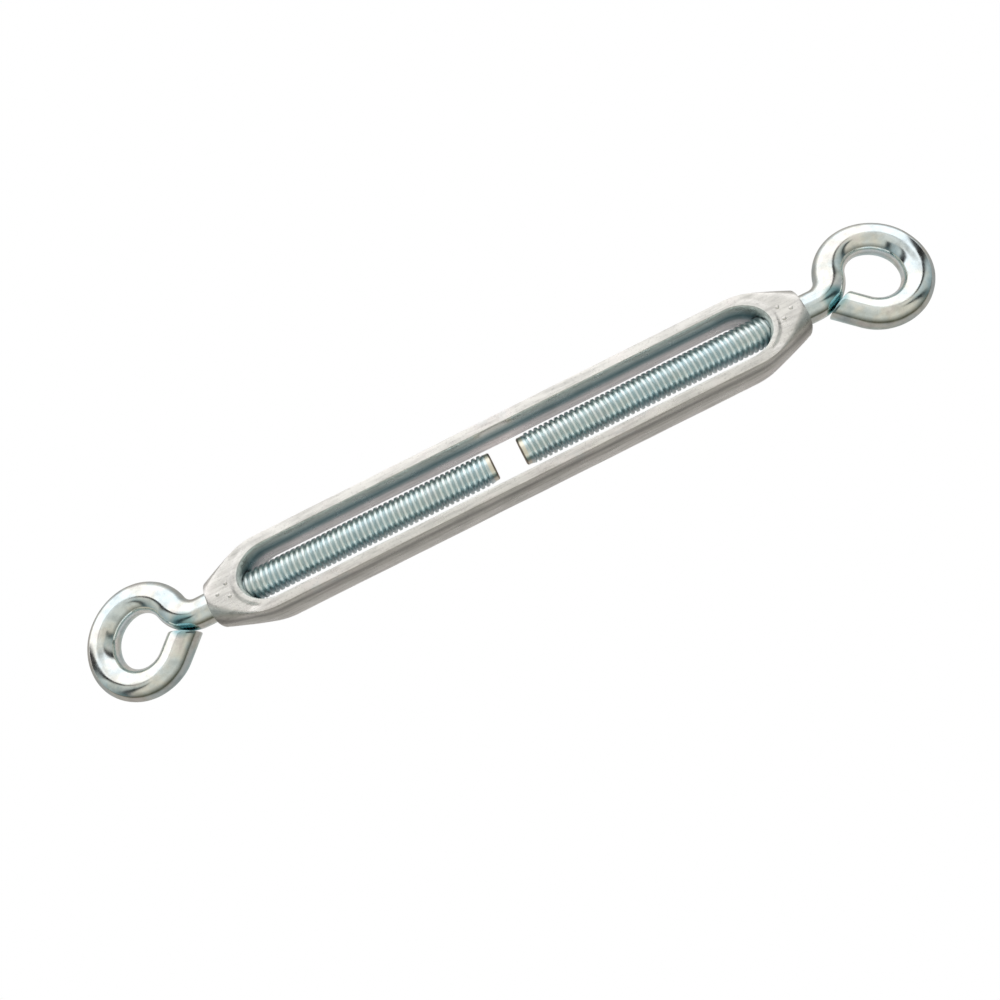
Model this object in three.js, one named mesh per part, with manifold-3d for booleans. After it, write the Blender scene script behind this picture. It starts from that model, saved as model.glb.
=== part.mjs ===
// Eye-and-eye turnbuckle with an open cast body.
// Millimetres. +X runs along the rods, +Y across the body in the plane of the eyes, +Z out of its front.
// The origin is on the rods' common axis, halfway between the two bosses.
// Every length called "at" is a distance from the origin along +X. The -X half is its mirror image,
// so its thread is left-hand and turning the body draws both eyebolts the same way, in or out.
import * as THREE from 'three';
import { mergeVertices } from 'three/addons/utils/BufferGeometryUtils.js';
import Module from 'manifold-3d';

// ---- driving dimensions: cast body ----
const BODY_LENGTH = 160.2;
const BODY_WIDTH = 19.8;
const BODY_DEPTH = 12.7;
const EDGE_ROUND = 1.3;
const SHOULDER_AT = 66.0;
const BOSS_END_WIDTH = 12.1;
const BOSS_CONE_SLOPE = 0.44;
const SLOT_WIDTH = 13.3;
const SLOT_END_AT = 70.8;
const SLOT_END_LENGTH = 7.8;
const MOUTH_RADIUS = 4.5;
const MOUTH_DEPTH = 1.15;

// ---- driving dimensions: 5/16-18 UNC thread ----
const PITCH = 25.4 / 18;
const THREAD_MAJOR_RADIUS = 3.97;
const THREAD_MINOR_RADIUS = 3.1;
const THREAD_CLEARANCE = 0.25;
const SEGMENTS_PER_TURN = 12;

// ---- driving dimensions: eyebolt ----
const TIP_AT = 3.7;
const TIP_LENGTH = 1.0;
const TIP_FACE_RADIUS = 3.35;
const TIP_RADIUS = 3.6;
const LEAD_IN = 1.0;
const WIRE_RADIUS = 3.9;
const BEND_STARTS_AT = 84.1;
// The bar's bends, in order from the shank: centre-line radius and turn, anticlockwise positive.
const EYE_BENDS = [
  { radius: 7.1, turn: 70.5 },
  { radius: 9.2, turn: -80.6 },
  { radius: 11.3, turn: -96.1 },
  { radius: 9.6, turn: -121 },
];
const TAIL_LENGTH = 6.2;
const TAIL_CUT_SLANT = 19;

// ---- resolution and gaps ----
const NODE_GAP = 0.3;
const WIRE_SIDES = 14;
const EYE_STEPS = 56;
const PAST = 5;

const halfLength = BODY_LENGTH / 2;
const radians = THREE.MathUtils.degToRad;

const wasm = await Module();
wasm.setup();

// ---- solids from geometries, and back ----
function toManifold(geometry) {
  const bare = geometry.clone();
  bare.deleteAttribute('normal');
  bare.deleteAttribute('uv');
  const merged = mergeVertices(bare, 1e-4);
  const mesh = new wasm.Mesh({
    numProp: 3,
    vertProperties: new Float32Array(merged.attributes.position.array),
    triVerts: new Uint32Array(merged.index.array),
  });
  return new wasm.Manifold(mesh);
}

function toGeometry(manifold) {
  const mesh = manifold.getMesh();
  const geometry = new THREE.BufferGeometry();
  geometry.setAttribute('position', new THREE.BufferAttribute(mesh.vertProperties, 3));
  geometry.setIndex(new THREE.BufferAttribute(mesh.triVerts, 1));
  geometry.computeVertexNormals();
  return geometry;
}

// The same solid on the other half of the object, with its faces still pointing out.
function mirroredX(geometry) {
  const copy = geometry.clone();
  const position = copy.attributes.position;
  for (let i = 0; i < position.count; i += 1) {
    position.setX(i, -position.getX(i));
  }
  const index = copy.index.array;
  for (let i = 0; i < index.length; i += 3) {
    [index[i], index[i + 1]] = [index[i + 1], index[i]];
  }
  copy.computeVertexNormals();
  return copy;
}

// A solid of revolution about X. The profile is a list of [x, radius], starting and ending on the axis.
function lathedAboutX(profile, sides) {
  const points = profile.map(([x, radius]) => new THREE.Vector2(radius, x));
  return new THREE.LatheGeometry(points, sides).rotateZ(-Math.PI / 2);
}

// ---- cast body ----
function bodyOutline() {
  const half = BODY_WIDTH / 2 - EDGE_ROUND;
  const bossHalf = BOSS_END_WIDTH / 2 - EDGE_ROUND;
  const end = halfLength;
  const outline = new THREE.Shape();
  outline.moveTo(-end, -bossHalf);
  outline.lineTo(-SHOULDER_AT, -half);
  outline.lineTo(SHOULDER_AT, -half);
  outline.lineTo(end, -bossHalf);
  outline.lineTo(end, bossHalf);
  outline.lineTo(SHOULDER_AT, half);
  outline.lineTo(-SHOULDER_AT, half);
  outline.lineTo(-end, bossHalf);
  return outline;
}

function slotOutline() {
  const middle = SLOT_END_AT - SLOT_END_LENGTH;
  const outline = new THREE.Shape();
  outline.moveTo(-middle, -SLOT_WIDTH / 2);
  outline.lineTo(middle, -SLOT_WIDTH / 2);
  outline.absellipse(middle, 0, SLOT_END_LENGTH, SLOT_WIDTH / 2, -Math.PI / 2, Math.PI / 2);
  outline.absellipse(-middle, 0, SLOT_END_LENGTH, SLOT_WIDTH / 2, Math.PI / 2, 1.5 * Math.PI);
  return outline;
}

function bodyBlock() {
  const block = new THREE.ExtrudeGeometry(bodyOutline(), {
    depth: BODY_DEPTH - 2 * EDGE_ROUND,
    bevelSize: EDGE_ROUND,
    bevelThickness: EDGE_ROUND,
    bevelSegments: 3,
  });
  return block.translate(0, 0, -BODY_DEPTH / 2 + EDGE_ROUND);
}

// Cuts the bosses' corners to a cone, so that each boss ends round and flat.
function bossCones() {
  const endRadius = BOSS_END_WIDTH / 2;
  const widest = endRadius + halfLength * BOSS_CONE_SLOPE;
  const profile = [
    [-halfLength, 0],
    [-halfLength, endRadius],
    [0, widest],
    [halfLength, endRadius],
    [halfLength, 0],
  ];
  return lathedAboutX(profile, 48);
}

function slotCutter() {
  const cutter = new THREE.ExtrudeGeometry(slotOutline(), {
    depth: BODY_DEPTH + 2 * PAST,
    bevelEnabled: false,
    curveSegments: 10,
  });
  return cutter.translate(0, 0, -BODY_DEPTH / 2 - PAST);
}

// ---- thread ----
// A right-hand screw along +X: a crest line and a root line wound round the axis, with a V between them.
// The crest passes y > 0, z = 0 half a pitch after each whole pitch from the origin, on every screw
// made here, so that a rod and the boss it fits are always in mesh.
function screw(from, to, crestRadius, rootRadius) {
  const firstTurn = Math.floor(from / PITCH) - 1;
  const turns = Math.ceil((to - from) / PITCH) + 3;
  const steps = turns * SEGMENTS_PER_TURN;
  const crestCount = steps + 1;
  const rootCount = steps + SEGMENTS_PER_TURN + 1;
  const vertices = [];
  const line = (count, radius, shift) => {
    for (let i = 0; i < count; i += 1) {
      const turn = firstTurn + i / SEGMENTS_PER_TURN;
      const angle = 2 * Math.PI * turn;
      vertices.push((turn + shift) * PITCH, radius * Math.cos(angle), radius * Math.sin(angle));
    }
  };
  line(crestCount, crestRadius, 0.5);
  line(rootCount, rootRadius, 0);
  vertices.push((firstTurn + 0.5) * PITCH, 0, 0);
  vertices.push((firstTurn + turns + 0.5) * PITCH, 0, 0);

  const crest = (i) => i;
  const root = (i) => crestCount + i;
  const startCentre = crestCount + rootCount;
  const endCentre = startCentre + 1;
  const triangles = [];
  for (let i = 0; i < steps; i += 1) {
    const nextTurn = i + SEGMENTS_PER_TURN;
    triangles.push(root(i), root(i + 1), crest(i + 1));
    triangles.push(root(i), crest(i + 1), crest(i));
    triangles.push(crest(i), crest(i + 1), root(nextTurn + 1));
    triangles.push(crest(i), root(nextTurn + 1), root(nextTurn));
  }
  for (let i = 0; i < SEGMENTS_PER_TURN; i += 1) {
    triangles.push(startCentre, root(i + 1), root(i));
    triangles.push(endCentre, root(steps + i), root(steps + i + 1));
  }
  triangles.push(startCentre, root(0), crest(0));
  triangles.push(startCentre, crest(0), root(SEGMENTS_PER_TURN));
  triangles.push(endCentre, crest(steps), root(steps));
  triangles.push(endCentre, root(steps + SEGMENTS_PER_TURN), crest(steps));

  const geometry = new THREE.BufferGeometry();
  geometry.setAttribute('position', new THREE.Float32BufferAttribute(vertices, 3));
  geometry.setIndex(triangles);
  return geometry;
}

function bossThreadCutter() {
  return screw(
    SLOT_END_AT - PAST,
    halfLength + PITCH,
    THREAD_MAJOR_RADIUS + THREAD_CLEARANCE,
    THREAD_MINOR_RADIUS + THREAD_CLEARANCE,
  );
}

// The countersink at the boss's mouth, wider than the shank that comes out of it.
function bossMouthCutter() {
  const bottom = halfLength - MOUTH_DEPTH;
  const outside = halfLength + PITCH;
  const profile = [
    [bottom, 0],
    [bottom, THREAD_MINOR_RADIUS + THREAD_CLEARANCE],
    [halfLength, MOUTH_RADIUS],
    [outside, MOUTH_RADIUS],
    [outside, 0],
  ];
  return lathedAboutX(profile, 32);
}

function makeBody() {
  const thread = bossThreadCutter();
  const mouth = bossMouthCutter();
  const cutters = [thread, mirroredX(thread), mouth, mirroredX(mouth)];
  const block = toManifold(bodyBlock())
    .intersect(toManifold(bossCones()))
    .subtract(toManifold(slotCutter()));
  const solid = cutters.reduce((left, cutter) => left.subtract(toManifold(cutter)), block);
  return toGeometry(solid);
}

// ---- eyebolt, on the +X side ----
function makeRodTip() {
  const tipEnd = TIP_AT + TIP_LENGTH;
  const profile = [
    [TIP_AT, 0],
    [TIP_AT, TIP_FACE_RADIUS],
    [TIP_AT + TIP_RADIUS - TIP_FACE_RADIUS, TIP_RADIUS],
    [tipEnd, TIP_RADIUS],
    [tipEnd, 0],
  ];
  return toGeometry(toManifold(lathedAboutX(profile, 24)));
}

function makeThreadedRod() {
  const start = TIP_AT + TIP_LENGTH + NODE_GAP;
  const envelope = [
    [start, 0],
    [start, TIP_RADIUS],
    [start + LEAD_IN, THREAD_MAJOR_RADIUS + THREAD_CLEARANCE],
    [halfLength, THREAD_MAJOR_RADIUS + THREAD_CLEARANCE],
    [halfLength, 0],
  ];
  const thread = screw(start, halfLength, THREAD_MAJOR_RADIUS, THREAD_MINOR_RADIUS);
  return toGeometry(toManifold(thread).intersect(toManifold(lathedAboutX(envelope, 24))));
}

// The bar's centre line from the end of the boss: shank, the bends in turn, then the straight tail.
class EyeCentreLine extends THREE.Curve {
  constructor(shankStart, tailLength) {
    super();
    const shank = { length: BEND_STARTS_AT - shankStart, turn: 0 };
    const bends = EYE_BENDS.map(({ radius, turn }) => {
      const angle = radians(turn);
      return { length: radius * Math.abs(angle), turn: angle };
    });
    this.start = new THREE.Vector2(shankStart, 0);
    this.runs = [shank, ...bends, { length: tailLength, turn: 0 }];
    this.total = this.runs.reduce((sum, run) => sum + run.length, 0);
  }

  // Point and heading at a distance along the bar.
  at(distance) {
    const point = this.start.clone();
    let heading = 0;
    let left = distance;
    for (const run of this.runs) {
      const length = Math.min(left, run.length);
      const turned = (run.turn * length) / run.length;
      const chord = turned === 0 ? length : (length * Math.sin(turned / 2)) / (turned / 2);
      point.x += chord * Math.cos(heading + turned / 2);
      point.y += chord * Math.sin(heading + turned / 2);
      heading += turned;
      left -= length;
      if (left <= 0) break;
    }
    return { point, heading };
  }

  getPoint(t, target = new THREE.Vector3()) {
    const { point } = this.at(t * this.total);
    return target.set(point.x, point.y, 0);
  }
}

// Slants the bar's far end face, as a shear leaves it.
function slantTailEnd(geometry, line) {
  const { point, heading } = line.at(line.total);
  const along = new THREE.Vector3(Math.cos(heading), Math.sin(heading), 0);
  const across = new THREE.Vector3(-along.y, along.x, 0);
  const end = new THREE.Vector3(point.x, point.y, 0);
  const slope = Math.tan(radians(TAIL_CUT_SLANT));
  const position = geometry.attributes.position;
  const offset = new THREE.Vector3();
  for (let i = 0; i < position.count; i += 1) {
    offset.fromBufferAttribute(position, i).sub(end);
    const onEndFace = Math.abs(offset.dot(along)) < 1e-3 && offset.length() < 1.01 * WIRE_RADIUS;
    if (onEndFace) {
      offset.addScaledVector(along, slope * offset.dot(across)).add(end);
      position.setXYZ(i, offset.x, offset.y, offset.z);
    }
  }
}

function makeEye() {
  const line = new EyeCentreLine(halfLength + NODE_GAP, TAIL_LENGTH);
  const section = new THREE.Shape();
  section.absarc(0, 0, WIRE_RADIUS, 0, 2 * Math.PI);
  const bar = new THREE.ExtrudeGeometry(section, {
    extrudePath: line,
    steps: EYE_STEPS,
    curveSegments: WIRE_SIDES / 2,
  });
  slantTailEnd(bar, line);
  return toGeometry(toManifold(bar));
}

// ---- assembly ----
function castAluminium() {
  return new THREE.MeshStandardMaterial({ color: 0xbdb8b0, roughness: 0.42, metalness: 0.9 });
}

function zincPlatedSteel() {
  return new THREE.MeshStandardMaterial({ color: 0xb9c9cc, roughness: 0.28, metalness: 1.0 });
}

function named(name, geometry, material) {
  const mesh = new THREE.Mesh(geometry, material);
  mesh.name = name;
  return mesh;
}

function eyebolt(side, place) {
  const bolt = new THREE.Group();
  bolt.name = `${side}_eyebolt`;
  bolt.add(
    named(`${side}_rod_tip`, place(makeRodTip()), zincPlatedSteel()),
    named(`${side}_threaded_rod`, place(makeThreadedRod()), zincPlatedSteel()),
    named(`${side}_eye`, place(makeEye()), zincPlatedSteel()),
  );
  return bolt;
}

const turnbuckle = new THREE.Group();
turnbuckle.name = 'turnbuckle';
turnbuckle.add(named('body_casting', makeBody(), castAluminium()));
turnbuckle.add(eyebolt('right', (geometry) => geometry));
turnbuckle.add(eyebolt('left', mirroredX));

export default turnbuckle;
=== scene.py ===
# Looks for the eye-and-eye turnbuckle: the cast body and the two eyebolts, rebuilt as fine meshes
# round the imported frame, with their metals, a pale floor, soft studio light and the camera.
# Shapes are worked out in millimetres and scaled to metres once, when a mesh is made.
# +X runs along the rods, +Y across the body in the plane of the eyes, +Z out of its front.
import math

import bpy
import numpy as np
from mathutils import Matrix, Vector, noise


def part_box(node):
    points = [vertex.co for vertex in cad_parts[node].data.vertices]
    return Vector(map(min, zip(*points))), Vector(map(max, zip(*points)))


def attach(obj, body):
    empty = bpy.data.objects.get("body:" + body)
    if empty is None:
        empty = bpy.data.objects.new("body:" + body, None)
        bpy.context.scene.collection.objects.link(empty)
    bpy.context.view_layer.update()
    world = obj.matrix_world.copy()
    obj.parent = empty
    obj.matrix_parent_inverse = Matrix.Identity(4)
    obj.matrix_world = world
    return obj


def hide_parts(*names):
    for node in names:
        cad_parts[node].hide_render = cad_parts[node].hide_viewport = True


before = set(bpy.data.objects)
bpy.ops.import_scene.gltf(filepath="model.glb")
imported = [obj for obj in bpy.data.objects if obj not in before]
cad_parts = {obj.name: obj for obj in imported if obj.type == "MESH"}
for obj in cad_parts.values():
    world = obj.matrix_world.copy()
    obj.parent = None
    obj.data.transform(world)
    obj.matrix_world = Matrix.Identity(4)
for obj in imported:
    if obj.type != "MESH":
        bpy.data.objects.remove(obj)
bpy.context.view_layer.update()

MM = 0.001


def box_mm(node):
    low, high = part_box(node)
    return low / MM, high / MM


# ---- sizes from the frame ----
body_low, body_high = box_mm("body_casting")
tip_low, tip_high = box_mm("right_rod_tip")
HALF_LENGTH = body_high.x
HALF_WIDTH = body_high.y
HALF_DEPTH = body_high.z
TIP_AT = tip_low.x
TIP_RADIUS = tip_high.z

# ---- cast body ----
SHOULDER_AT = 66.0
SHOULDER_ROUND = 5.0
BOSS_END_RADIUS = 6.05
BOSS_CONE_SLOPE = 0.44
BOSS_BLEND = 0.45
SLOT_HALF_WIDTH = 6.5
SLOT_END_AT = 70.8
SLOT_END_LENGTH = 7.8
# Each rounded edge: how far it reaches along the face, then how far down the side.
INNER_EDGE = (0.5, 4.0)
RAIL_EDGE = (0.3, 2.8)
BOSS_EDGE = (0.45, 0.45)
FACE_FALL = 0.1
WALL_DRAFT = math.tan(math.radians(4))
SIDE_DRAFT = math.tan(math.radians(3))
PARTING_RIDGE = 0.05
PARTING_HALF_WIDTH = 0.3
RAIL_STEP = 1.5
# Where points lie across the front face, closest by the slot, and the rim that stands up round its ends.
FACE_SHARES = [0.04, 0.08, 0.12, 0.16, 0.20, 0.25, 0.31, 0.38, 0.46, 0.54, 0.62, 0.70, 0.78, 0.86, 0.93]
RIM_HEIGHT = 0.22
RIM_ENDS_FROM_TO = (1.7, 2.6)
BOSS_CORNER_SEEN_AT = 28
CAST_PIPS = [(74.2, 1.7), (74.2, -1.7), (76.9, 0.0)]
MOUTH_RADIUS = 4.5
MOUTH_DEPTH = 1.15
# Patches of colour, by the noise that picks them.
CASTING_TINTS = [
    (0.32, (0.78, 0.76, 0.73)),
    (0.50, (0.86, 0.84, 0.80)),
    (0.62, (0.88, 0.84, 0.81)),
    (0.72, (0.82, 0.83, 0.82)),
]
# Painted shade on the casting, from the back of the body (0) to its front (1): dull in front of the middle.
# On the slot's walls: a painted teal shade, and a lighter painted reflection towards the back.
SLOT_WALL_PAINTED_SHADE = [
    (0.30, (1.00, 0.93, 0.92)),
    (0.44, (0.72, 0.69, 0.70)),
    (0.54, (0.32, 0.42, 0.44)),
    (0.64, (0.15, 0.26, 0.29)),
    (0.74, (0.36, 0.48, 0.49)),
    (0.90, (0.94, 0.96, 0.92)),
]
# On the outside: a painted dark line in front of the middle.
OUTSIDE_PAINTED_SHADE = [
    (0.35, 0.95),
    (0.62, 0.84),
    (0.73, 0.50),
    (0.78, 0.54),
    (0.88, 1.0),
]

# ---- 5/16-18 UNC thread ----
PITCH = 25.4 / 18
THREAD_MAJOR_RADIUS = 3.97
THREAD_MINOR_RADIUS = 3.40
THREAD_CLEARANCE = 0.25
CREST_CLEARANCE = 0.09
# One pitch of the thread from root to root: share of the pitch, then share of the thread's depth.
THREAD_PROFILE = [
    (0.00, 1.00),
    (0.07, 0.90),
    (0.14, 0.62),
    (0.22, 0.20),
    (0.29, 0.04),
    (0.38, 0.00),
    (0.62, 0.00),
    (0.71, 0.04),
    (0.78, 0.20),
    (0.86, 0.62),
    (0.93, 0.90),
]
THREAD_STARTS_AT = TIP_AT + 1.2
THREAD_FULL_AT = TIP_AT + 2.6
THREAD_FADES_AT = HALF_LENGTH - 1.2
THREAD_ENDS_AT = HALF_LENGTH - 0.3

# ---- eyebolt ----
TIP_FACE_RADIUS = 3.35
WIRE_RADIUS = 3.9
BEND_STARTS_AT = 84.1
# The bar's bends, in order from the shank: centre-line radius and degrees, anticlockwise positive.
EYE_BENDS = [(7.1, 70.5), (9.2, -80.6), (11.3, -96.1), (9.6, -121)]
TAIL_LENGTH = 6.2
TAIL_CUT_SLANT = math.tan(math.radians(19))
TAIL_EDGE_ROUND = 0.25
SIDES = 64
RING_STEP = 0.6

ZINC_TINTS = [
    (0.30, (0.70, 0.80, 0.84)),
    (0.45, (0.80, 0.87, 0.88)),
    (0.56, (0.88, 0.88, 0.82)),
    (0.68, (0.88, 0.83, 0.81)),
]

# ---- camera and studio ----
VIEW_TILT = 20.5
VIEW_ROLL = 26.59
VIEW_DISTANCE = 250.0
VIEW_SCALE = 4.073
VIEW_SHIFT = (-0.008, -0.041)
SENSOR_WIDTH = 36.0
# How bright the studio is, by how far a direction leans towards the white wall behind the object (+Y):
# -1 is away from it, 0 along the rods and 1 straight at it. One ramp for high and one for low.
STUDIO_HIGH = [
    (-1.00, (0.68, 0.67, 0.61)),
    (-0.62, (0.64, 0.64, 0.58)),
    (-0.52, (0.06, 0.07, 0.07)),
    (-0.42, (0.03, 0.04, 0.04)),
    (-0.30, (0.40, 0.46, 0.46)),
    (0.10, (0.62, 0.66, 0.64)),
    (0.27, (0.03, 0.03, 0.03)),
    (0.44, (0.03, 0.03, 0.03)),
    (0.50, (1.30, 1.30, 1.30)),
]
STUDIO_LOW = [
    (-1.00, (0.10, 0.10, 0.07)),
    (-0.70, (0.11, 0.12, 0.10)),
    (-0.45, (0.11, 0.18, 0.20)),
    (-0.20, (0.32, 0.40, 0.41)),
    (0.10, (0.40, 0.46, 0.46)),
    (0.27, (0.03, 0.03, 0.03)),
    (0.46, (0.03, 0.03, 0.03)),
    (0.53, (1.30, 1.30, 1.30)),
]
# The ceiling, by a direction's share of +Y: cream, then a thin gap before the white wall's top edge.
STUDIO_CEILING = [
    (-0.40, (0.68, 0.67, 0.61)),
    (0.05, (0.74, 0.73, 0.68)),
    (0.22, (0.84, 0.83, 0.79)),
    (0.27, (0.40, 0.40, 0.38)),
    (0.32, (0.84, 0.84, 0.82)),
    (0.42, (1.20, 1.20, 1.20)),
]
CEILING_FROM = 0.86
CEILING_FULL = 0.93
# Where the glowing table, as the metal sees it, is painted white behind the object and dark in front of it.
WHITE_TABLE_FROM_TO = (0.02, 0.08)
DARK_TABLE_FROM_TO = (-0.03, -0.07)
# How far the painted shadow reaches round the object on the glowing table, and how it looks in the metal.
SHADE_REACH = 9.0
TABLE_PAINTED_SHADOW = [
    (0.10, (0.10, 0.14, 0.15)),
    (0.30, (0.66, 0.64, 0.63)),
    (0.45, (0.70, 0.68, 0.67)),
    (0.65, (0.39, 0.38, 0.36)),
]


# ---- meshes ----
def make_mesh(name, vertices, faces, sharp_degrees):
    """A mesh object from points in millimetres, smooth except at edges sharper than the angle."""
    mesh = bpy.data.meshes.new(name)
    mesh.from_pydata((np.array(vertices) * MM).tolist(), [], faces)
    mesh.validate()
    mesh.polygons.foreach_set("use_smooth", [True] * len(mesh.polygons))
    mesh.set_sharp_from_angle(angle=math.radians(sharp_degrees))
    mesh.update()
    obj = bpy.data.objects.new(name, mesh)
    bpy.context.scene.collection.objects.link(obj)
    return obj


def roughen(obj, waves):
    """Moves each vertex along its normal by smooth noise. Waves are (size, height) in millimetres."""
    mesh = obj.data
    normals = [vertex.normal.copy() for vertex in mesh.vertices]
    places = [vertex.co / MM for vertex in mesh.vertices]
    moved = []
    for place, normal in zip(places, normals):
        push = sum(height * noise.noise(place / size) for size, height in waves)
        moved.extend((place + normal * push) * MM)
    mesh.vertices.foreach_set("co", moved)
    mesh.update()


def applied(obj):
    """Replaces the object's mesh by what its modifiers make of it."""
    bpy.context.view_layer.update()
    evaluated = obj.evaluated_get(bpy.context.evaluated_depsgraph_get())
    mesh = bpy.data.meshes.new_from_object(evaluated)
    obj.modifiers.clear()
    obj.data = mesh
    return obj


def combine(obj, other, operation):
    modifier = obj.modifiers.new(operation, "BOOLEAN")
    modifier.operation = operation
    modifier.solver = "MANIFOLD"
    modifier.object = other
    applied(obj)
    bpy.data.objects.remove(other)


def mirrored(vertices, faces):
    """The same shape on the -X half, with its faces still pointing out."""
    flipped = [(-x, y, z) for x, y, z in vertices]
    return flipped, [face[::-1] for face in faces]


def smooth_step(low, high, value):
    t = min(1.0, max(0.0, (value - low) / (high - low)))
    return t * t * (3 - 2 * t)


def join_rings(faces, first, second, count):
    """Quads between two rings of vertices, each given by its first index."""
    for i in range(count):
        j = (i + 1) % count
        faces.append((first + i, first + j, second + j, second + i))


# ---- thread ----
def rod_radius(x, depth_share):
    """Radius of the rod's thread: it rises out of the plain tip and sinks into the shank."""
    starts = smooth_step(THREAD_STARTS_AT, THREAD_FULL_AT, x)
    ends = smooth_step(THREAD_FADES_AT, THREAD_ENDS_AT, x)
    outside = TIP_RADIUS + (THREAD_MAJOR_RADIUS - TIP_RADIUS) * starts
    outside += (WIRE_RADIUS - outside) * ends
    depth = (THREAD_MAJOR_RADIUS - THREAD_MINOR_RADIUS) * starts * (1 - ends)
    return outside - depth * depth_share


def bore_radius(_x, depth_share):
    """Radius of the boss's thread: a clearance wider than the rod's, its crests cut back clear of it."""
    depth = (THREAD_MAJOR_RADIUS - THREAD_MINOR_RADIUS) * depth_share
    return max(THREAD_MAJOR_RADIUS + THREAD_CLEARANCE - depth, THREAD_MAJOR_RADIUS + CREST_CLEARANCE)


def screw_rows(start, end, radius_at):
    """Rows of points along a right-hand helix, one row for each point of the thread's profile."""
    rows = []
    for turn in range(int(start / PITCH) - 1, int(end / PITCH) + 2):
        for share, depth_share in THREAD_PROFILE:
            if not start <= PITCH * (turn + share) <= end:
                continue
            row = []
            for i in range(SIDES):
                angle = 2 * math.pi * i / SIDES
                x = PITCH * (turn + share + i / SIDES)
                radius = radius_at(x, depth_share)
                row.append((x, radius * math.cos(angle), radius * math.sin(angle)))
            rows.append(row)
    return rows


def add_screw(vertices, faces, rows):
    """Adds the rows as one seamless thread, and returns the first and the last row's first index."""
    start = len(vertices)
    per_turn = len(THREAD_PROFILE)
    for row in rows:
        vertices.extend(row)
    for r in range(len(rows) - 1):
        here = start + r * SIDES
        above = here + SIDES
        for i in range(SIDES - 1):
            faces.append((here + i, here + i + 1, above + i + 1, above + i))
        if r + 1 + per_turn < len(rows):
            next_turn = here + per_turn * SIDES
            faces.append((here + SIDES - 1, next_turn, next_turn + SIDES, above + SIDES - 1))
    return start, start + (len(rows) - 1) * SIDES


def close_screw_start(faces, ring, first_row):
    """Joins a flat ring to the thread's first row, whose end is one pitch further on than its start."""
    per_turn = len(THREAD_PROFILE)
    for i in range(SIDES - 1):
        faces.append((ring + i, ring + i + 1, first_row + i + 1, first_row + i))
    step = [first_row + k * SIDES for k in range(per_turn + 1)]
    faces.append((ring + SIDES - 1, ring, *step, first_row + SIDES - 1))


def close_screw_end(faces, last_row, ring):
    """Joins the thread's last row to a flat ring."""
    per_turn = len(THREAD_PROFILE)
    for i in range(SIDES - 1):
        faces.append((last_row + i, last_row + i + 1, ring + i + 1, ring + i))
    step = [last_row + SIDES - 1 - k * SIDES for k in range(per_turn + 1)]
    faces.append((last_row, ring, ring + SIDES - 1, *step))


# ---- eyebolt, on the +X side ----
def ring_round(place, radius, lean=0.0):
    """A ring square to the bar at a place on its centre line, or leaning along the bar."""
    x, y, heading = place
    along = (math.cos(heading), math.sin(heading))
    across = (-along[1], along[0])
    ring = []
    for i in range(SIDES):
        angle = 2 * math.pi * i / SIDES
        side = radius * math.cos(angle)
        ahead = lean * side
        ring.append((
            x + across[0] * side + along[0] * ahead,
            y + across[1] * side + along[1] * ahead,
            radius * math.sin(angle),
        ))
    return ring


def moved_along(place, distance):
    x, y, heading = place
    return x + distance * math.cos(heading), y + distance * math.sin(heading), heading


def bar_places(start):
    """Places along the centre line after the thread, a step apart: x, y and heading."""
    runs = [(BEND_STARTS_AT - start, 0.0)]
    runs += [(radius * math.radians(abs(turn)), math.radians(turn)) for radius, turn in EYE_BENDS]
    runs += [(TAIL_LENGTH - TAIL_EDGE_ROUND, 0.0)]
    place = (start, 0.0, 0.0)
    places = [place]
    for length, turn in runs:
        steps = round(length / RING_STEP)
        half = turn / steps / 2
        chord = length / steps * (math.sin(half) / half if half else 1.0)
        for _ in range(steps):
            x, y, heading = place
            x, y, _ = moved_along((x, y, heading + half), chord)
            place = (x, y, heading + 2 * half)
            places.append(place)
    return places


def tip_rings():
    """The rod's flat end face and its chamfer, from the middle out."""
    profile = [
        (0.0, 1.2),
        (0.0, 2.3),
        (0.0, 3.1),
        (0.04, TIP_FACE_RADIUS - 0.03),
        (0.12, TIP_FACE_RADIUS + 0.08),
        (0.3, TIP_RADIUS - 0.02),
        (0.5, TIP_RADIUS),
        (1.0, TIP_RADIUS),
    ]
    return [ring_round((TIP_AT + x, 0.0, 0.0), radius) for x, radius in profile]


def bar_rings(start):
    """Rings along the shank, round the eye and down the tail to its sheared end."""
    places = bar_places(start)
    slanting = round(3.0 / RING_STEP)
    rings = []
    for k, place in enumerate(places):
        left = len(places) - 1 - k
        lean = TAIL_CUT_SLANT * smooth_step(0, slanting, slanting - left)
        rings.append(ring_round(place, WIRE_RADIUS, lean))
    edge = TAIL_EDGE_ROUND
    end_profile = [
        (0.6 * edge, WIRE_RADIUS - 0.2 * edge),
        (0.95 * edge, WIRE_RADIUS - 0.6 * edge),
        (edge, WIRE_RADIUS - 1.1 * edge),
        (edge, 2.5),
        (edge, 1.2),
    ]
    for ahead, radius in end_profile:
        rings.append(ring_round(moved_along(places[-1], ahead), radius, TAIL_CUT_SLANT))
    return rings, moved_along(places[-1], edge)


def add_rings(vertices, faces, rings):
    """Adds rings joined one to the next, and returns the first and the last ring's first index."""
    start = len(vertices)
    for k, ring in enumerate(rings):
        vertices.extend(ring)
        if k:
            join_rings(faces, start + (k - 1) * SIDES, start + k * SIDES, SIDES)
    return start, start + (len(rings) - 1) * SIDES


def add_cap(vertices, faces, centre, ring, ring_first):
    """Closes a ring with triangles to a centre, on the side that the ring's own order asks for."""
    middle = len(vertices)
    vertices.append(centre)
    for i in range(SIDES):
        j = (i + 1) % SIDES
        faces.append((middle, ring + j, ring + i) if ring_first else (ring + i, ring + j, middle))


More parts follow.
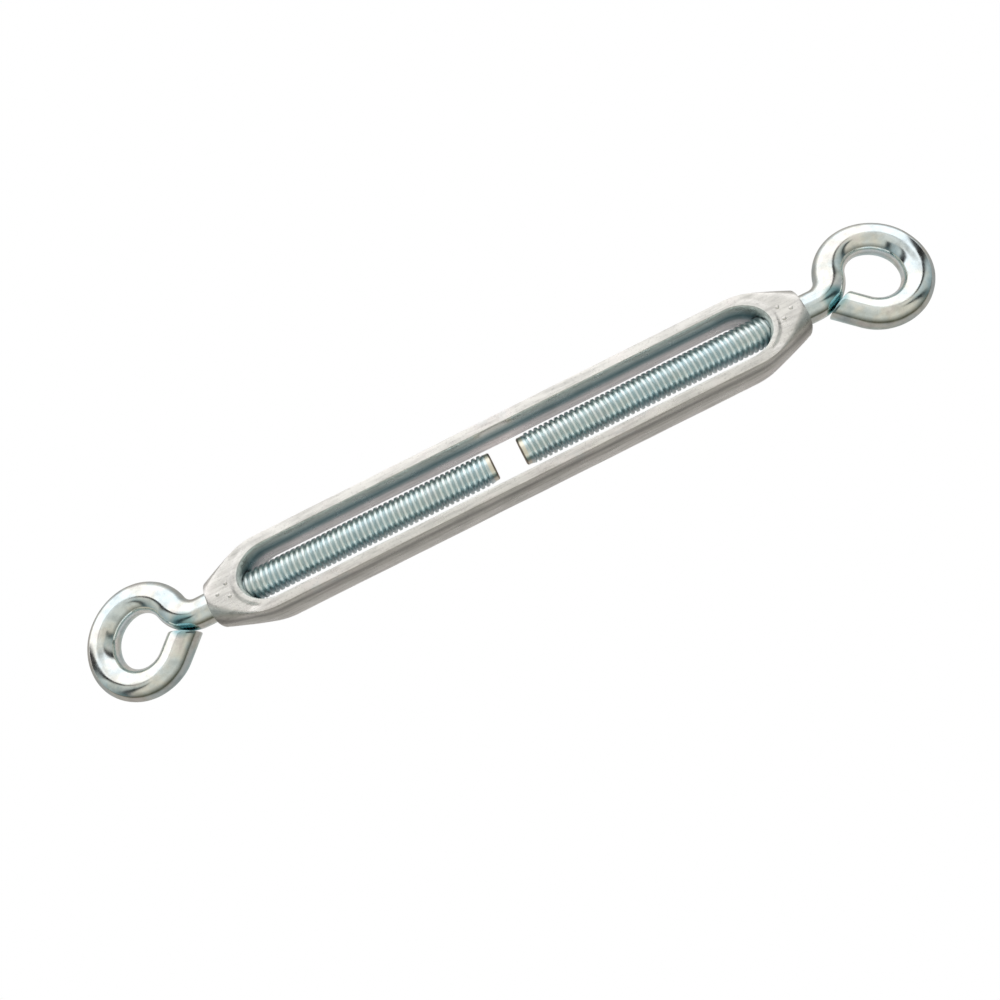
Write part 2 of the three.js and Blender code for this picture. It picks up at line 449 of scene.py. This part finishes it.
def eyebolt_shape():
    vertices, faces = [], []
    first, last = add_rings(vertices, faces, tip_rings())
    add_cap(vertices, faces, (TIP_AT, 0.0, 0.0), first, True)
    rows = screw_rows(TIP_AT + 1.05, THREAD_ENDS_AT + 0.1, rod_radius)
    first_row, last_row = add_screw(vertices, faces, rows)
    close_screw_start(faces, last, first_row)
    bar, (end_x, end_y, _) = bar_rings(THREAD_ENDS_AT + 0.1 + 1.1 * PITCH)
    first, last = add_rings(vertices, faces, bar)
    close_screw_end(faces, last_row, first)
    add_cap(vertices, faces, (end_x, end_y, 0.0), last, False)
    return vertices, faces


def make_eyebolt(side, material):
    vertices, faces = eyebolt_shape()
    if side == "left":
        vertices, faces = mirrored(vertices, faces)
    bolt = make_mesh(f"{side}_eyebolt_bar", vertices, faces, 40)
    roughen(bolt, [(7.0, 0.05), (2.2, 0.015)])
    bolt.data.materials.append(material)
    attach(bolt, f"{side}_eyebolt")
    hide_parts(f"{side}_rod_tip", f"{side}_threaded_rod", f"{side}_eye")
    return bolt


# ---- cast body ----
def rounded_corner(before, corner, after, reach):
    """Points round a corner of an outline, leaving and joining it at a reach from the corner."""
    start = corner + (before - corner).normalized() * reach
    end = corner + (after - corner).normalized() * reach
    points = []
    for k in range(9):
        t = k / 8
        points.append(start * (1 - t) ** 2 + corner * 2 * t * (1 - t) + end * t ** 2)
    return points


def end_outline():
    """The outside of the body from beside the slot's end to the middle of the boss's end face."""
    start = Vector((SLOT_END_AT - SLOT_END_LENGTH, HALF_WIDTH))
    shoulder = Vector((SHOULDER_AT, HALF_WIDTH))
    corner = Vector((HALF_LENGTH, BOSS_END_RADIUS))
    middle = Vector((HALF_LENGTH, 0.0))
    round_shoulder = rounded_corner(start, shoulder, corner, SHOULDER_ROUND / 2)
    round_end = rounded_corner(shoulder, corner, middle, BOSS_EDGE[0])
    points = [start, *round_shoulder, *round_end, middle]
    lengths = np.cumsum([0.0] + [(b - a).length for a, b in zip(points, points[1:])])
    corner_length = lengths[1 + len(round_shoulder) + len(round_end) // 2]
    return points, lengths, corner_length


def quarter_sections():
    """Where each cross-section of the +X, +Y quarter starts on the slot's wall and ends outside."""
    straight = SLOT_END_AT - SLOT_END_LENGTH
    steps = round(straight / RAIL_STEP)
    xs = [straight * k / steps for k in range(steps)]
    pairs = [(Vector((x, SLOT_HALF_WIDTH)), Vector((x, HALF_WIDTH))) for x in xs]
    points, lengths, corner_length = end_outline()
    for degrees in range(90, -1, -1):
        angle = math.radians(degrees)
        inner = Vector((straight + SLOT_END_LENGTH * math.cos(angle), SLOT_HALF_WIDTH * math.sin(angle)))
        along = np.interp(degrees, [0, BOSS_CORNER_SEEN_AT, 90], [lengths[-1], corner_length, 0.0])
        outer_x = np.interp(along, lengths, [p.x for p in points])
        outer_y = np.interp(along, lengths, [p.y for p in points])
        pairs.append((inner, Vector((outer_x, outer_y))))
    return pairs


def all_sections():
    """The sections right round the slot, clockwise from the middle of the upper rail."""
    quarter = quarter_sections()

    def turned(pairs, x_sign, y_sign):
        flip = Vector((x_sign, y_sign))
        return [(inner * flip, outer * flip) for inner, outer in pairs]

    return (
        quarter
        + turned(quarter[-2::-1], 1, -1)
        + turned(quarter[1:], -1, -1)
        + turned(quarter[-2:0:-1], -1, 1)
    )


def arc(centre, radii, from_degrees, to_degrees, steps):
    """Points round part of an ellipse, both ends included."""
    points = []
    for k in range(steps + 1):
        angle = math.radians(from_degrees + (to_degrees - from_degrees) * k / steps)
        points.append((centre[0] + radii[0] * math.cos(angle), centre[1] + radii[1] * math.sin(angle)))
    return points


def section(length, side_share):
    """One closed cross-section: distance out from the slot's wall, and height above mid-depth.
    Side share is 1 on the rails, whose outside has draft and a wide edge, and 0 on a boss's end face."""
    edge = [boss + (rail - boss) * side_share for boss, rail in zip(BOSS_EDGE, RAIL_EDGE)]
    fall = FACE_FALL * side_share
    inner_top = HALF_DEPTH - INNER_EDGE[1]
    rim = RIM_HEIGHT * smooth_step(4.0, 6.0, length)
    outer_top = HALF_DEPTH - fall - rim - edge[1]
    inner_lean = WALL_DRAFT * inner_top
    outer_lean = SIDE_DRAFT * outer_top * side_share
    front = [(0.0, 0.0)]
    front += [(inner_lean * share, inner_top * share) for share in (0.33, 0.67)]
    front += arc((inner_lean + INNER_EDGE[0], inner_top), INNER_EDGE, 180, 90, 10)
    face_start = inner_lean + INNER_EDGE[0]
    face_end = length - outer_lean - edge[0]
    for share in FACE_SHARES:
        distance = face_start + (face_end - face_start) * share
        height = HALF_DEPTH - fall * share ** 2 - rim * smooth_step(*RIM_ENDS_FROM_TO, distance)
        front.append((distance, height))
    front += arc((face_end, outer_top), edge, 90, 0, 10)
    front += [(length - outer_lean * share, outer_top * share) for share in (0.75, 0.5, 0.25)]
    front.append((length - outer_lean * 0.08, PARTING_HALF_WIDTH))
    ridge = (length + PARTING_RIDGE * side_share, 0.0)
    back = [(distance, -height) for distance, height in front[:0:-1]]
    return front + [ridge] + back


def coned(x, y, z):
    """Draws a point of the boss in to the cone that leaves its end round."""
    radius = math.hypot(y, z)
    limit = BOSS_END_RADIUS + BOSS_CONE_SLOPE * (HALF_LENGTH - abs(x))
    if radius < limit - BOSS_BLEND:
        return x, y, z
    share = max(0.0, 0.5 + 0.5 * (limit - radius) / BOSS_BLEND)
    drawn = limit + (radius - limit) * share - BOSS_BLEND * share * (1 - share)
    scale = drawn / radius
    return x, y * scale, z * scale


def casting_shape():
    vertices, faces = [], []
    sections = all_sections()
    for inner, outer in sections:
        length = (outer - inner).length
        outward = (outer - inner) / length
        side_share = smooth_step(HALF_LENGTH - 0.1, HALF_LENGTH - 3.0, abs(outer.x))
        points = section(length, side_share)
        for distance, height in points:
            x, y = inner + outward * distance
            vertices.append(coned(x, y, height))
    count = len(points)
    for s in range(len(sections)):
        here = s * count
        following = (s + 1) % len(sections) * count
        join_rings(faces, following, here, count)
    return vertices, faces


def bore_cutter(side):
    """The boss's thread, as one solid to cut out; mouth_cutter makes the countersink at its mouth."""
    vertices, faces = [], []
    start = SLOT_END_AT - 3.0
    first, last = add_rings(vertices, faces, [ring_round((start - PITCH, 0.0, 0.0), bore_radius(0, 0.5))])
    add_cap(vertices, faces, (start - PITCH, 0.0, 0.0), first, True)
    rows = screw_rows(start, HALF_LENGTH + 0.5, bore_radius)
    first_row, last_row = add_screw(vertices, faces, rows)
    close_screw_start(faces, last, first_row)
    end = HALF_LENGTH + 0.5 + 1.2 * PITCH
    first, last = add_rings(vertices, faces, [ring_round((end, 0.0, 0.0), bore_radius(0, 0.5))])
    close_screw_end(faces, last_row, first)
    add_cap(vertices, faces, (end, 0.0, 0.0), last, False)
    if side == "left":
        vertices, faces = mirrored(vertices, faces)
    return make_mesh("bore_cutter", vertices, faces, 40)


def mouth_cutter(side):
    bottom = THREAD_MINOR_RADIUS + THREAD_CLEARANCE
    profile = [
        (HALF_LENGTH - MOUTH_DEPTH, bottom),
        (HALF_LENGTH, MOUTH_RADIUS),
        (HALF_LENGTH + 0.3, MOUTH_RADIUS + 0.3),
    ]
    vertices, faces = [], []
    first, last = add_rings(vertices, faces, [ring_round((x, 0.0, 0.0), r) for x, r in profile])
    add_cap(vertices, faces, (profile[0][0], 0.0, 0.0), first, True)
    add_cap(vertices, faces, (profile[-1][0], 0.0, 0.0), last, False)
    if side == "left":
        vertices, faces = mirrored(vertices, faces)
    return make_mesh("mouth_cutter", vertices, faces, 40)


def cast_pip(x, y):
    """A low domed cast mark, half sunk in the front face."""
    profile = [(-0.4, 0.62), (-0.12, 0.6), (0.06, 0.5), (0.15, 0.34), (0.19, 0.16)]
    face = HALF_DEPTH - RIM_HEIGHT
    vertices, faces = [], []
    rings = []
    for height, radius in profile:
        ring = []
        for i in range(SIDES):
            angle = 2 * math.pi * i / SIDES
            ring.append((x + radius * math.cos(angle), y + radius * math.sin(angle), face + height))
        rings.append(ring)
    first, last = add_rings(vertices, faces, rings)
    add_cap(vertices, faces, (x, y, face + profile[0][0]), first, True)
    add_cap(vertices, faces, (x, y, face + 0.2), last, False)
    return make_mesh("cast_pip", vertices, faces, 40)


def make_casting():
    vertices, faces = casting_shape()
    casting = make_mesh("body_casting_fine", vertices, faces, 40)
    roughen(casting, [(9.0, 0.06), (3.0, 0.02)])
    for side_sign in (1, -1):
        for x, y in CAST_PIPS:
            combine(casting, cast_pip(side_sign * x, y), "UNION")
    for side in ("right", "left"):
        combine(casting, bore_cutter(side), "DIFFERENCE")
        combine(casting, mouth_cutter(side), "DIFFERENCE")
    casting.data.materials.clear()
    casting.data.materials.append(cast_aluminium())
    casting.data.polygons.foreach_set("use_smooth", [True] * len(casting.data.polygons))
    casting.data.set_sharp_from_angle(angle=math.radians(32))
    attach(casting, "frame")
    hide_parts("body_casting")
    return casting


# ---- materials ----
class Nodes:
    """Adds shader nodes to a material and links them."""

    def __init__(self, tree):
        self.tree = tree

    def add(self, kind, inputs=None, **settings):
        node = self.tree.nodes.new(kind)
        for name, value in settings.items():
            setattr(node, name, value)
        for name, value in (inputs or {}).items():
            self.set(node.inputs[name], value)
        return node

    def set(self, socket, value):
        if isinstance(value, bpy.types.NodeSocket):
            self.tree.links.new(value, socket)
        else:
            socket.default_value = value

    def noise(self, place, scale, detail=2.0, roughness=0.5):
        inputs = {"Vector": place, "Scale": scale, "Detail": detail, "Roughness": roughness}
        return self.add("ShaderNodeTexNoise", inputs).outputs["Fac"]

    def ramp(self, value, stops):
        """A colour ramp. Stops are (position, grey level or (r, g, b))."""
        node = self.add("ShaderNodeValToRGB", {"Fac": value})
        elements = node.color_ramp.elements
        while len(elements) < len(stops):
            elements.new(0.5)
        for element, (position, level) in zip(elements, stops):
            element.position = position
            colour = level if isinstance(level, tuple) else (level, level, level)
            element.color = (*colour, 1.0)
        return node.outputs["Color"]

    def math(self, operation, a, b=0.0):
        node = self.add("ShaderNodeMath", operation=operation)
        self.set(node.inputs[0], a)
        self.set(node.inputs[1], b)
        return node.outputs[0]

    def length(self, a, b):
        """Length of the vector (a, b)."""
        squares = self.math("ADD", self.math("MULTIPLY", a, a), self.math("MULTIPLY", b, b))
        return self.math("SQRT", squares)

    def scaled(self, value, low, high):
        """0 where the value is at low, 1 at high, and smooth between."""
        inputs = {"Value": value, "From Min": low, "From Max": high}
        return self.add("ShaderNodeMapRange", inputs).outputs["Result"]

    def mix(self, share, a, b, blend="MIX"):
        node = self.add("ShaderNodeMix", data_type="RGBA", blend_type=blend)
        self.set(node.inputs["Factor"], share)
        self.set(node.inputs["A"], a)
        self.set(node.inputs["B"], b)
        return node.outputs["Result"]

    def multiply(self, a, b):
        return self.mix(1.0, a, b, "MULTIPLY")

    def bump(self, height, strength, distance, normal=None):
        inputs = {"Height": height, "Strength": strength, "Distance": distance}
        if normal is not None:
            inputs["Normal"] = normal
        return self.add("ShaderNodeBump", inputs).outputs["Normal"]


def new_material(name):
    """An empty material, with its nodes, the place on the object and that place's X, Y and Z."""
    material = bpy.data.materials.new(name)
    material.use_nodes = True
    material.node_tree.nodes.clear()
    nodes = Nodes(material.node_tree)
    place = nodes.add("ShaderNodeTexCoord").outputs["Object"]
    parts = nodes.add("ShaderNodeSeparateXYZ", {"Vector": place}).outputs
    return material, nodes, place, parts


def finish_material(nodes, inputs):
    shader = nodes.add("ShaderNodeBsdfPrincipled", inputs)
    output = nodes.add("ShaderNodeOutputMaterial")
    nodes.tree.links.new(shader.outputs["BSDF"], output.inputs["Surface"])


def zinc_colour(nodes, place, parts, on_rod):
    """Bluish passivation in patches, with a greener painted shade on the underside; cooler and more even on
    the thread.
    """
    tint = nodes.ramp(nodes.noise(place, 130.0, 3.0, 0.6), ZINC_TINTS)
    clouds = nodes.ramp(nodes.noise(place, 340.0, 4.0, 0.6), [(0.34, 0.80), (0.56, 1.0)])
    clouded = nodes.multiply(tint, clouds)
    # Painted shade: darker and greener towards the back of the eye.
    underside = nodes.scaled(parts["Z"], 0.8 * MM, -1.6 * MM)
    on_eye = nodes.mix(underside, clouded, nodes.multiply(clouded, (0.66, 0.84, 0.84, 1.0)))
    on_thread = nodes.mix(0.65, clouded, (0.86, 0.98, 0.99, 1.0))
    return nodes.mix(on_rod, on_eye, on_thread)


def thread_root_share(nodes, parts, on_rod):
    """1 in the roots of the rod's thread, 0 on its crests and off the rod."""
    radius = nodes.math("DIVIDE", nodes.length(parts["Y"], parts["Z"]), THREAD_MAJOR_RADIUS * MM)
    in_root = nodes.ramp(radius, [(THREAD_MINOR_RADIUS / THREAD_MAJOR_RADIUS, 1.0), (0.95, 0.0)])
    return nodes.math("MULTIPLY", in_root, on_rod)


def tail_joint_shade_share(nodes, parts):
    """1 where the tail's sheared end comes back to the shank, which a painted shade dulls."""
    end_x, end_y, heading = bar_places(HALF_LENGTH)[-1]
    touch_x, touch_y, _ = moved_along((end_x, end_y, heading), 1.8)
    along = nodes.math("SUBTRACT", nodes.math("ABSOLUTE", parts["X"]), touch_x * MM)
    across = nodes.math("SUBTRACT", parts["Y"], touch_y * MM)
    return nodes.scaled(nodes.length(along, across), 3.6 * MM, 2.2 * MM)


def with_tip(nodes, parts, colour):
    """The colour, but for the rod's bare tip: a brown rim, then a cream band."""
    from_end = nodes.math("SUBTRACT", nodes.math("ABSOLUTE", parts["X"]), TIP_AT * MM)
    rim_to_band = [(0.30, (0.34, 0.28, 0.22)), (0.50, (0.88, 0.84, 0.72))]
    tip = nodes.ramp(nodes.scaled(from_end, 0.0, MM), rim_to_band)
    return nodes.mix(nodes.scaled(from_end, 1.5 * MM, 1.2 * MM), colour, tip)


def zinc_plated_steel():
    """Bright zinc, with painted shade in the thread's roots and painted teal shade where the tail meets the
    shank.
    """
    material, nodes, place, parts = new_material("zinc_plated_steel_fine")
    on_rod = nodes.math("LESS_THAN", nodes.math("ABSOLUTE", parts["X"]), HALF_LENGTH * MM)
    # Painted shade in the thread's roots.
    root = nodes.math("MULTIPLY", thread_root_share(nodes, parts, on_rod), 0.28)
    # Painted teal shade where the tail's end meets the shank.
    joint_shade = nodes.math("MULTIPLY", tail_joint_shade_share(nodes, parts), 0.6)
    colour = zinc_colour(nodes, place, parts, on_rod)
    colour = nodes.mix(root, colour, (0.14, 0.26, 0.33, 1.0))
    colour = nodes.mix(joint_shade, colour, (0.10, 0.40, 0.46, 1.0))
    smooth = nodes.ramp(nodes.noise(place, 420.0, 3.0), [(0.3, 0.09), (0.7, 0.20)])
    rougher = nodes.mix(1.0, smooth, (0.2, 0.2, 0.2, 1.0), "ADD")
    normal = nodes.bump(nodes.noise(place, 380.0), 0.25, 0.00004)
    normal = nodes.bump(nodes.noise(place, 1500.0), 0.25, 0.000012, normal)
    finish_material(nodes, {
        "Base Color": with_tip(nodes, parts, colour),
        "Metallic": 1.0,
        "Roughness": nodes.mix(on_rod, smooth, rougher),
        "Normal": normal,
    })
    return material


def slot_wall_share(nodes, parts):
    """1 on the walls of the slot, 0 on the outside of the body."""
    straight = (SLOT_END_AT - SLOT_END_LENGTH) * MM
    past_straight = nodes.math("SUBTRACT", nodes.math("ABSOLUTE", parts["X"]), straight)
    along = nodes.math("DIVIDE", nodes.math("MAXIMUM", past_straight, 0.0), SLOT_END_LENGTH * MM)
    across = nodes.math("DIVIDE", parts["Y"], SLOT_HALF_WIDTH * MM)
    return nodes.scaled(nodes.length(along, across), 1.15, 1.04)


def casting_grain(nodes, place):
    """Fine specks and streaks drawn out along the rails."""
    specks = nodes.ramp(nodes.noise(place, 1800.0), [(0.25, 0.82), (0.45, 1.0)])
    drawn_out = nodes.add("ShaderNodeMapping", {"Vector": place, "Scale": (0.12, 1.0, 1.0)}).outputs["Vector"]
    streaks = nodes.ramp(nodes.noise(drawn_out, 900.0, 3.0, 0.6), [(0.36, 0.80), (0.56, 1.0)])
    return nodes.multiply(specks, streaks)


def cast_aluminium():
    """Satin cast metal: warm light grey in faint patches, with painted shade outside and dull teal on the
    slot's walls.
    """
    material, nodes, place, parts = new_material("cast_aluminium_fine")
    patches = nodes.ramp(nodes.noise(place, 90.0, 4.0, 0.6), CASTING_TINTS)
    grain = casting_grain(nodes, place)
    forward = nodes.scaled(parts["Z"], -HALF_DEPTH * MM, HALF_DEPTH * MM)
    # Painted shade: a dark line across the outside, in front of the middle.
    outside = nodes.multiply(nodes.multiply(patches, grain), nodes.ramp(forward, OUTSIDE_PAINTED_SHADE))
    # Painted shade and painted reflection on the slot's walls.
    wall = nodes.multiply(grain, nodes.ramp(forward, SLOT_WALL_PAINTED_SHADE))
    roughness = nodes.ramp(nodes.noise(place, 260.0, 4.0), [(0.3, 0.24), (0.7, 0.38)])
    normal = nodes.bump(nodes.noise(place, 500.0, 3.0), 0.3, 0.00006)
    normal = nodes.bump(nodes.noise(place, 2400.0), 0.35, 0.00002, normal)
    finish_material(nodes, {
        "Base Color": nodes.mix(slot_wall_share(nodes, parts), outside, wall),
        "Metallic": 0.75,
        "Roughness": roughness,
        "Normal": normal,
    })
    return material


# ---- floor, light and camera ----
def make_floor():
    """A pale glowing table under the object: plain white to the eye; in the metal, soft grey with painted
    light and a painted shadow.
    """
    half = 3000.0
    level = body_low.z - 0.05
    corners = [(-half, -half, level), (half, -half, level), (half, half, level), (-half, half, level)]
    floor = make_mesh("floor", corners, [(0, 1, 2, 3)], 30)
    material, nodes, _, parts = new_material("pale_floor")
    shade = nodes.add("ShaderNodeAmbientOcclusion", {"Distance": SHADE_REACH * MM}, samples=6)
    painted_shadow = nodes.ramp(shade.outputs["AO"], TABLE_PAINTED_SHADOW)
    white_share = nodes.scaled(parts["Y"], *WHITE_TABLE_FROM_TO)
    dark_share = nodes.scaled(parts["Y"], *DARK_TABLE_FROM_TO)
    reflected = nodes.mix(white_share, painted_shadow, (0.90, 0.90, 0.90, 1.0))
    reflected = nodes.mix(dark_share, reflected, (0.10, 0.10, 0.07, 1.0))
    seen = nodes.add("ShaderNodeLightPath").outputs["Is Camera Ray"]
    colour = nodes.mix(seen, reflected, (1.0, 1.0, 1.0, 1.0))
    glow = nodes.add("ShaderNodeEmission", {"Color": colour, "Strength": 1.0})
    output = nodes.add("ShaderNodeOutputMaterial")
    nodes.tree.links.new(glow.outputs[0], output.inputs["Surface"])
    floor.data.materials.append(material)


def studio_ramp(nodes, lean, stops):
    """A ramp over a value that runs from -1 to 1."""
    return nodes.ramp(nodes.scaled(lean, -1.0, 1.0), [((at + 1) / 2, colour) for at, colour in stops])


def make_world():
    """A studio as the metal sees it: a white wall behind, dark gaps beside it, grey in front and above."""
    world = bpy.data.worlds.new("studio")
    world.use_nodes = True
    world.node_tree.nodes.clear()
    nodes = Nodes(world.node_tree)
    bpy.context.scene.world = world
    direction = nodes.add("ShaderNodeTexCoord").outputs["Generated"]
    parts = nodes.add("ShaderNodeSeparateXYZ", {"Vector": direction}).outputs
    level = nodes.math("SQRT", nodes.math("SUBTRACT", 1.0001, nodes.math("MULTIPLY", parts["Z"], parts["Z"])))
    lean = nodes.math("DIVIDE", parts["Y"], level)
    high = studio_ramp(nodes, lean, STUDIO_HIGH)
    low = studio_ramp(nodes, lean, STUDIO_LOW)
    around = nodes.mix(nodes.scaled(parts["Z"], 0.0, 0.6), low, high)
    ceiling = studio_ramp(nodes, parts["Y"], STUDIO_CEILING)
    studio = nodes.mix(nodes.scaled(parts["Z"], CEILING_FROM, CEILING_FULL), around, ceiling)
    seen = nodes.add("ShaderNodeLightPath").outputs["Is Camera Ray"]
    colour = nodes.mix(seen, studio, (0.93, 0.93, 0.93, 1.0))
    background = nodes.add("ShaderNodeBackground", {"Color": colour, "Strength": 1.0})
    output = nodes.add("ShaderNodeOutputWorld")
    nodes.tree.links.new(background.outputs[0], output.inputs["Surface"])


def make_camera():
    """Looks down at the object from in front of it, turned so that the rods climb to the right."""
    tilt = math.radians(VIEW_TILT)
    roll = math.radians(VIEW_ROLL)
    back = Vector((0.0, -math.sin(tilt), math.cos(tilt)))
    level_up = Vector((0.0, math.cos(tilt), math.sin(tilt)))
    along = Vector((1.0, 0.0, 0.0))
    right = along * math.cos(roll) - level_up * math.sin(roll)
    up = along * math.sin(roll) + level_up * math.cos(roll)
    camera = bpy.data.objects.new("camera", bpy.data.cameras.new("camera"))
    camera.data.sensor_width = SENSOR_WIDTH
    camera.data.lens = VIEW_SCALE * VIEW_DISTANCE * SENSOR_WIDTH / 1000
    camera.data.shift_x, camera.data.shift_y = VIEW_SHIFT
    camera.data.clip_start = 0.001
    camera.matrix_world = Matrix((
        (right.x, up.x, back.x, back.x * VIEW_DISTANCE * MM),
        (right.y, up.y, back.y, back.y * VIEW_DISTANCE * MM),
        (right.z, up.z, back.z, back.z * VIEW_DISTANCE * MM),
        (0.0, 0.0, 0.0, 1.0),
    ))
    bpy.context.scene.collection.objects.link(camera)
    bpy.context.scene.camera = camera


make_camera()
make_world()
make_floor()
make_casting()
zinc = zinc_plated_steel()
make_eyebolt("right", zinc)
make_eyebolt("left", zinc)
bpy.context.scene.view_settings.view_transform = "Standard"
